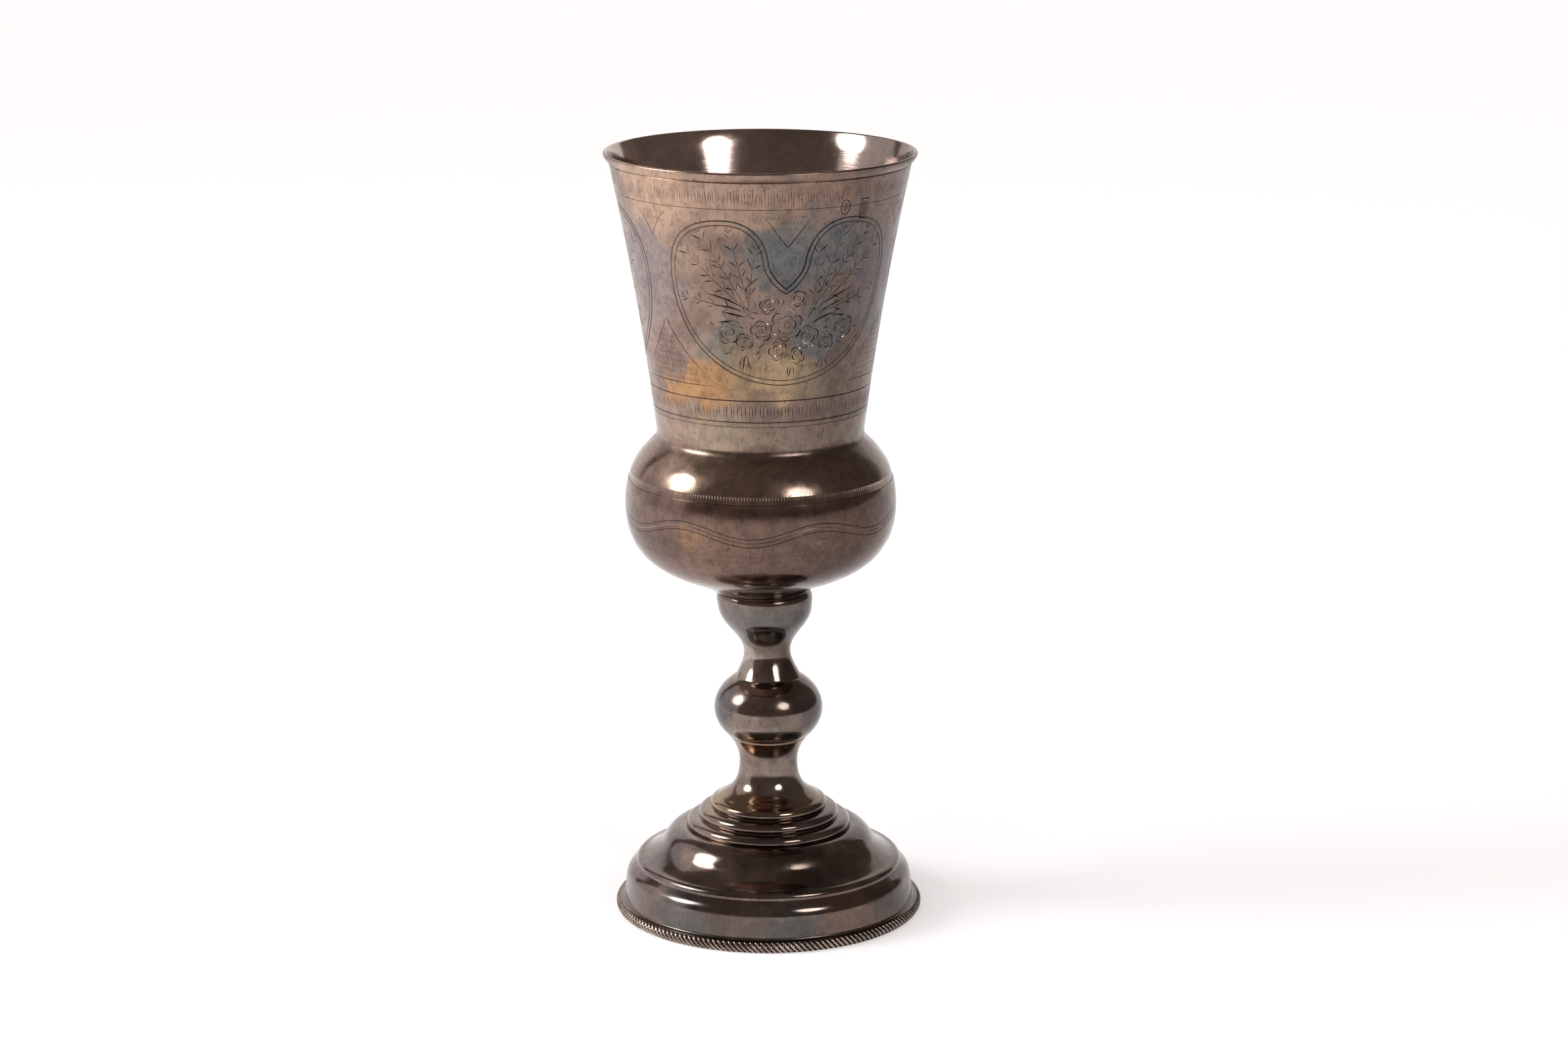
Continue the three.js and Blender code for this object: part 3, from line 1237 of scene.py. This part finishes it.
@dataclass
class Foot:
    """Domed foot with step rings, a beaded shoulder, a skirt and the lower neck."""

    rim: float = 2.0
    top: float = 33.9
    shift: float = 0.65
    waist: float = 5.5
    flange_radius: float = 28.5
    skirt_radius: float = 27.1
    wire_inside: float = 27.2
    step_rings: tuple[Point, ...] = ((14.35, 16.6), (12.1, 18.5), (9.85, 20.45))
    step_bead: float = 1.15
    shoulder_bead: Point = (24.1, 9.2)
    shoulder_bead_radius: float = 1.05
    facets: int = 160

    def build(self, silver: SilverFinish) -> bpy.types.Object:
        """Turns the foot, hollow underneath.

        Args:
            silver: Its finish.

        Returns:
            The finished piece.
        """
        outline = Outline(0, 19.4).curve((6.3, 19.3), (11.0, 18.2), (14.0, 15.9), 8)
        outline.line(18.4, 13.4).curve((23.2, 10.4), (26.0, 9.0), (26.1, 6.4), 8)
        outline.curve((26.2, 4.5), (26.6, 3.1), (self.wire_inside, self.rim), 6)
        outline.line(self.flange_radius - 0.1, self.rim)
        outline.curve((27.75, 2.03), (27.46, 2.1), (27.43, 2.55), 6)
        outline.curve((27.35, 3.8), (27.2, 4.8), (self.skirt_radius, 5.9), 6)
        outline.curve((27.05, 6.8), (26.75, 7.75), (25.95, 8.3), 10)
        outline.arc(self.shoulder_bead, self.shoulder_bead_radius, -15, 95, 9)
        outline.line(23.4, 10.45).curve((22.2, 11.0), (20.7, 12.1), (20.05, 13.2), 10)
        outline.curve((19.3, 14.45), (18.5, 15.9), (16.3, 16.2), 16)
        for middle in self.step_rings:
            outline.arc(middle, self.step_bead, -30, 85, 10)
        outline.line(9.5, 21.85).curve((8.2, 23.1), (self.waist, 23.3), (self.waist, 28.8), 20)
        outline.curve((self.waist, 30.4), (6.1, 32.0), (7.3, self.top - 0.35), 12)
        outline.line(7.3, self.top).line(0, self.top)
        bm = turned(outline, self.facets)
        crease(bm, 32)
        bmesh.ops.translate(bm, vec=(self.shift * MM, 0, 0), verts=bm.verts)
        made = piece("silver_foot", bm, (silver.material(),))
        hand_over(made, "foot")
        return made


@dataclass
class FootWire:
    """Milled wire soldered round the edge of the foot."""

    inside: float = 27.2
    radius: float = 29.15
    top: float = 2.0
    shift: float = 0.65
    notches: int = 176
    notch_depth: float = 0.42
    notched_from: float = 28.3
    notch_root: float = 28.2
    notch_fade: float = 0.5
    plain_below: float = 0.12
    slant: float = 5.5
    facets_per_notch: int = 8
    groove_share: float = 0.45

    def notch(self, place: Vector) -> float:
        """Measures how deep in a notch a point of the wire is.

        Args:
            place: Point in metres, before the wire's shift.

        Returns:
            0 on a ridge or off the notched side, 1 at the bottom of a notch.
        """
        x, y, z = place / MM
        out = math.hypot(x, y)
        if out < self.notched_from or z < self.plain_below:
            return 0.0
        reach = min(1.0, (out - self.notch_root) / self.notch_fade)
        return reach * (0.5 + 0.5 * math.cos(self.notches * math.atan2(y, x) + self.slant * z))

    def build(self, silver: SilverFinish, grime: SilverFinish) -> bpy.types.Object:
        """Turns the wire and presses the slanted notches into its outer side.

        Args:
            silver: Finish of the ridges.
            grime: Finish down in the notches.

        Returns:
            The finished piece.
        """
        outline = Outline(self.inside, 0).line(28.1, 0)
        outline.curve((28.8, 0), (self.radius, 0.5), (self.radius, 1.0), 5)
        outline.curve((self.radius, 1.5), (28.9, 1.85), (28.55, self.top), 4)
        outline.line(self.inside, self.top)
        bm = turned(outline, self.notches * self.facets_per_notch, closed=True)
        for face in bm.faces:
            face.material_index = int(self.notch(face.calc_center_median()) > self.groove_share)
        for vert in bm.verts:
            vert.co.xy *= 1 - self.notch_depth * MM * self.notch(vert.co) / vert.co.xy.length
        crease(bm, 50)
        bmesh.ops.translate(bm, vec=(self.shift * MM, 0, 0), verts=bm.verts)
        made = piece("silver_foot_wire", bm, (silver.material(), grime.material()))
        hand_over(made, "foot_wire")
        return made


# The studio


@dataclass(frozen=True)
class Lamp:
    """A round soft lamp that looks at the object, with angles in degrees and lengths in metres."""

    name: str
    azimuth: float
    elevation: float
    size: float
    power: float
    distance: float = 1.0
    aim_height: float = 0.07

    def hang(self) -> None:
        """Hangs the lamp at its place, with azimuth counted from the camera's side to the right."""
        data = bpy.data.lights.new(self.name, "AREA")
        data.shape = "DISK"
        data.size = self.size
        data.energy = self.power
        made = bpy.data.objects.new(self.name, data)
        a, e = math.radians(self.azimuth), math.radians(self.elevation)
        away = Vector((math.sin(a) * math.cos(e), -math.cos(a) * math.cos(e), math.sin(e)))
        made.location = Vector((0, 0, self.aim_height)) + self.distance * away
        made.rotation_euler = (-away).to_track_quat("-Z", "Y").to_euler()
        bpy.context.scene.collection.objects.link(made)


@dataclass
class Studio:
    """White paper sweep, a card, two soft lamps, an even wash of light and the camera."""

    lens: float = 90.0
    pitch: float = 13.7
    camera_place: Place = (0.0036, -0.71304, 0.24865)
    lamps: tuple[Lamp, ...] = (
        Lamp("left_lamp", -82, 31, 0.43, 4.3), Lamp("right_lamp", 37, 30, 0.37, 3.0),
    )
    room: float = 0.2
    room_tone: Colour = (1.0, 0.82, 0.75)
    paper_glow: float = 0.33
    back_glow: float = 0.5
    paper_half: float = 4.0
    paper_drop: float = 0.05
    card_half: float = 0.7
    card_place: Place = (-1.15, 0.25, 0.7)
    wash_strength: float = 0.95
    wash_spread: float = 60.0
    wash_tilt: Point = (20.0, -35.0)
    card_glow: float = 0.3

    def paper(self) -> None:
        """Lays a white sweep that curves up behind the object."""
        bm = bmesh.new()
        bmesh.ops.create_grid(bm, x_segments=1, y_segments=1, size=self.paper_half)
        back = [edge for edge in bm.edges if all(v.co.y > self.paper_half - 0.1 for v in edge.verts)]
        raised = bmesh.ops.extrude_edge_only(bm, edges=back)
        risen = [item for item in raised["geom"] if isinstance(item, bmesh.types.BMVert)]
        bmesh.ops.translate(bm, vec=(0, 1.0, 4.0), verts=risen)
        bend = [edge for edge in back if edge.is_valid]
        bmesh.ops.bevel(
            bm, geom=bend, offset=1.6, offset_type="OFFSET", segments=16, profile=0.5,
            affect="EDGES", material=-1,
        )
        bmesh.ops.translate(bm, vec=(0, 0, -self.paper_drop * MM), verts=bm.verts)
        for face in bm.faces:
            face.smooth = True
        material = bpy.data.materials.new("white_paper")
        sheet = NodeSheet(material)
        grain = sheet.noise(1.5, 3)
        sheet.link(
            sheet.blend(grain.outputs["Fac"], (0.86, 0.86, 0.87), (0.9, 0.9, 0.9)),
            sheet.shader.inputs["Base Color"],
        )
        sheet.shader.inputs["Roughness"].default_value = 0.9
        sheet.shader.inputs["Emission Color"].default_value = (1, 1, 1, 1)
        away = sheet.vector("DOT_PRODUCT", sheet.place, (0, 1, 0)).outputs["Value"]
        glow = sheet.span(away, -250, 900, self.paper_glow, self.back_glow)
        sheet.link(glow, sheet.shader.inputs["Emission Strength"])
        piece("paper", bm, (material,))

    def card(self) -> None:
        """Stands a white card at the left, outside the picture."""
        bm = bmesh.new()
        bmesh.ops.create_grid(bm, x_segments=1, y_segments=1, size=self.card_half)
        upright = Matrix.Rotation(math.radians(90), 3, "Y")
        bmesh.ops.rotate(bm, verts=bm.verts, cent=(0, 0, 0), matrix=upright)
        bmesh.ops.translate(bm, verts=bm.verts, vec=self.card_place)
        material = bpy.data.materials.new("white_card")
        sheet = NodeSheet(material)
        sheet.shader.inputs["Base Color"].default_value = (0.8, 0.79, 0.8, 1)
        sheet.shader.inputs["Roughness"].default_value = 0.9
        sheet.shader.inputs["Emission Color"].default_value = (1, 0.97, 0.98, 1)
        sheet.shader.inputs["Emission Strength"].default_value = self.card_glow
        piece("card", bm, (material,))

    def sky(self) -> None:
        """Fills the room with a little light and the paper with an even wash."""
        world = bpy.data.worlds.new("room")
        world.use_nodes = True
        background = world.node_tree.nodes["Background"]
        background.inputs["Color"].default_value = (*self.room_tone, 1)
        background.inputs["Strength"].default_value = self.room
        bpy.context.scene.world = world
        data = bpy.data.lights.new("wash", "SUN")
        data.energy = self.wash_strength
        data.angle = math.radians(self.wash_spread)
        made = bpy.data.objects.new("wash", data)
        made.rotation_euler = (*(math.radians(tilt) for tilt in self.wash_tilt), 0)
        made.visible_glossy = False
        bpy.context.scene.collection.objects.link(made)

    def camera(self) -> None:
        """Sets the camera at the photograph's angle."""
        data = bpy.data.cameras.new("camera")
        data.lens = self.lens
        data.sensor_width = 36.0
        data.clip_start = 0.01
        made = bpy.data.objects.new("camera", data)
        made.location = self.camera_place
        made.rotation_euler = (math.radians(90 - self.pitch), 0, 0)
        bpy.context.scene.collection.objects.link(made)
        bpy.context.scene.camera = made

    def build(self) -> None:
        """Sets up paper, card, lamps, room and camera."""
        self.paper()
        self.card()
        for lamp in self.lamps:
            lamp.hang()
        self.sky()
        self.camera()
        bpy.context.scene.view_settings.view_transform = "Standard"
        bpy.context.scene.view_settings.look = "None"


def on_beaker(bowl: Bowl, angle: float, height: float) -> Place:
    """Gives a point of the bowl's face in millimetres, for a patch of tarnish."""
    place = bowl.on_surface(angle, height) / MM
    return (place.x + bowl.shift, place.y, place.z)


def bowl_finish(bowl: Bowl) -> SilverFinish:
    """Makes the bowl's finish, with its golden, blue and violet patches of tarnish.

    Args:
        bowl: Bowl whose face the patches lie on.

    Returns:
        The finish.
    """
    gold = (0.46, 0.315, 0.175)
    amber = (0.54, 0.3, 0.14)
    teal = (0.19, 0.205, 0.205)
    grey = (0.26, 0.255, 0.245)
    violet = (0.32, 0.26, 0.26)
    brown = (0.26, 0.175, 0.13)
    patches = (
        Patch(on_beaker(bowl, -45, 140.5), 13, (0.58, 0.39, 0.28), 0.9),
        Patch(on_beaker(bowl, -8, 141), 11, (0.56, 0.38, 0.28), 0.8),
        Patch(on_beaker(bowl, 25, 141), 11, (0.56, 0.36, 0.27), 0.7),
        Patch(on_beaker(bowl, 2, 131), 7, teal, 0.85),
        Patch(on_beaker(bowl, 14, 126), 6, teal, 0.8),
        Patch(on_beaker(bowl, 25, 131), 9, grey, 0.85),
        Patch(on_beaker(bowl, 42, 133), 9, grey, 0.7),
        Patch(on_beaker(bowl, 30, 116), 8, grey, 0.8),
        Patch(on_beaker(bowl, -17, 113), 6, (0.24, 0.24, 0.2), 0.6),
        Patch(on_beaker(bowl, -44, 104.2), 6.5, amber, 0.9),
        Patch(on_beaker(bowl, -26, 105), 6.5, amber, 0.85),
        Patch(on_beaker(bowl, -48.5, 109.5), 6, (0.27, 0.19, 0.16), 0.7),
        Patch(on_beaker(bowl, -6, 107), 7, gold, 0.8),
        Patch(on_beaker(bowl, 14, 107), 7, (0.66, 0.46, 0.27), 0.9),
        Patch(on_beaker(bowl, 28, 107), 6, (0.36, 0.29, 0.2), 0.6),
        Patch(on_beaker(bowl, -33, 128), 4, (0.42, 0.3, 0.2), 0.6),
        Patch(on_beaker(bowl, -60, 125), 13, violet, 0.8),
        Patch(on_beaker(bowl, 70, 122), 14, violet, 0.8),
        Patch(on_beaker(bowl, 55, 140), 9, (0.5, 0.34, 0.27), 0.6),
        Patch(on_beaker(bowl, -24, 95), 8, (0.43, 0.34, 0.24), 0.6),
        Patch(on_beaker(bowl, -34, 77), 4, (0.4, 0.23, 0.12), 0.7),
        Patch(on_beaker(bowl, -60, 78), 15, (0.175, 0.117, 0.1), 0.9),
        Patch(on_beaker(bowl, -72, 88), 10, (0.3, 0.2, 0.155), 0.7),
        Patch(on_beaker(bowl, 130, 126), 16, teal, 0.6),
        Patch(on_beaker(bowl, 205, 112), 14, gold, 0.6),
        Patch(on_beaker(bowl, 250, 132), 15, violet, 0.7),
        Patch(on_beaker(bowl, 165, 80), 15, brown, 0.6),
    )
    bands = (
        Band(50, 91.5, 1.5, (0.25, 0.157, 0.12), 0.85, -0.13),
        # Painted sheen: this lighter band on the upper bulb stands in for the hazy light that it reflects.
        Band(83.5, 91.0, 1.5, (0.5, 0.36, 0.27), 0.75),
        Band(93.0, 97.3, 0.6, (0.45, 0.33, 0.25), 0.5, -0.08),
    )
    return SilverFinish(
        "engraved_silver", (0.4, 0.28, 0.225), (0.3, 0.205, 0.165), (0.24, 0.36),
        cloud_size=7, dents=0.01, grime=0.4, mottle=0.6, patches=patches, bands=bands,
    )


def bowl_finishes(bowl: Bowl) -> dict[Face, SilverFinish]:
    """Makes the finish of each kind of face on the bowl.

    Args:
        bowl: Bowl whose face the patches lie on.

    Returns:
        The finishes by kind of face.
    """
    # A lighter cloud on the left of the lining, just under the lip.
    lighter_left_lining = Patch((-24, 4, 140), 15, (0.56, 0.44, 0.38), 0.8)
    return {
        Face.SILVER: bowl_finish(bowl),
        Face.DARK_CUT: SilverFinish(
            "dark_cuts", (0.18, 0.13, 0.105), (0.09, 0.063, 0.05), (0.3, 0.45)
        ),
        Face.LINING: SilverFinish(
            "bowl_lining", (0.4, 0.31, 0.27), (0.3, 0.22, 0.19), (0.09, 0.16),
            dents=0.004, hairlines=0.008, side_shade=0.4, patches=(lighter_left_lining,),
        ),
        Face.BRIGHT_CUT: SilverFinish(
            "bright_cuts", (0.66, 0.54, 0.46), (0.4, 0.31, 0.26), (0.2, 0.35), side_shade=0.6
        ),
        Face.MILLED: SilverFinish(
            "milled_cuts", (0.86, 0.72, 0.62), (0.64, 0.52, 0.44), (0.4, 0.55), side_shade=0.5
        ),
    }


def polished_finish() -> SilverFinish:
    """Makes the smooth finish of stem, knop and foot, with its bands and patches of tarnish.

    Returns:
        The finish.
    """
    bands = (
        Band(52.5, 60, 1.5, (0.2, 0.188, 0.18), 0.8),
        Band(34.4, 37.2, 0.8, (0.43, 0.36, 0.31), 0.75),
        Band(31.5, 34.2, 0.6, (0.4, 0.25, 0.155), 0.7),
        Band(20.6, 23.6, 0.8, (0.4, 0.27, 0.16), 0.7),
        Band(0, 6.6, 0.4, (0.16, 0.125, 0.108), 0.65, 0.05),
    )
    foot = (
        Patch((-16, -22, 4), 9, (0.13, 0.133, 0.135), 0.6),
        Patch((5, -27, 3), 9, (0.13, 0.135, 0.13), 0.6),
        Patch((15, -23, 5), 8, (0.3, 0.2, 0.15), 0.6),
        Patch((-25, -10, 9), 10, (0.2, 0.155, 0.15), 0.75),
        Patch((-19, -6, 15), 8, (0.2, 0.16, 0.16), 0.75),
        Patch((20, 14, 6), 12, (0.17, 0.18, 0.185), 0.6),
        Patch((-12, 24, 6), 11, (0.34, 0.23, 0.16), 0.6),
        # Dark tarnish on the dome's right, also painted shade that dims the right lamp's highlight there.
        Patch((7, -19, 13.5), 8, (0.11, 0.08, 0.065), 0.8),
    )
    stem = (
        Patch((-10, -3, 39), 8, (0.12, 0.125, 0.13), 0.8),
        Patch((11, -3, 39), 7, (0.15, 0.14, 0.14), 0.7),
        Patch((0, -7, 44), 5, (0.46, 0.34, 0.27), 0.6),
        Patch((-4, -3, 49), 5, (0.5, 0.42, 0.37), 0.7),
        Patch((4, -5, 27.5), 6, (0.42, 0.33, 0.28), 0.7),
    )
    return SilverFinish(
        "polished_silver", (0.32, 0.245, 0.202), (0.19, 0.143, 0.12), (0.08, 0.2),
        cloud_size=7, grime=0.3, mottle=0.45, side_shade=0.66, patches=foot + stem, bands=bands,
    )


def main() -> None:
    """Builds each piece in order, then the studio."""
    logging.basicConfig(level=logging.INFO, format="%(name)s: %(message)s")
    bowl = Bowl()
    engraving = Engraving(bowl)
    engraving.draw()
    bowl.build(engraving, bowl_finishes(bowl))
    polished = polished_finish()
    UpperStem().build(polished)
    Knop().build(polished)
    Foot().build(polished)
    ridges = SilverFinish(
        "milled_silver", (0.66, 0.53, 0.45), (0.42, 0.32, 0.27), (0.25, 0.4), cloud_size=4, side_shade=0.4
    )
    grooves = SilverFinish("dark_grooves", (0.06, 0.042, 0.034), (0.03, 0.021, 0.017), (0.5, 0.7))
    FootWire().build(ridges, grooves)
    Studio().build()


if __name__ == "__main__":
    main()
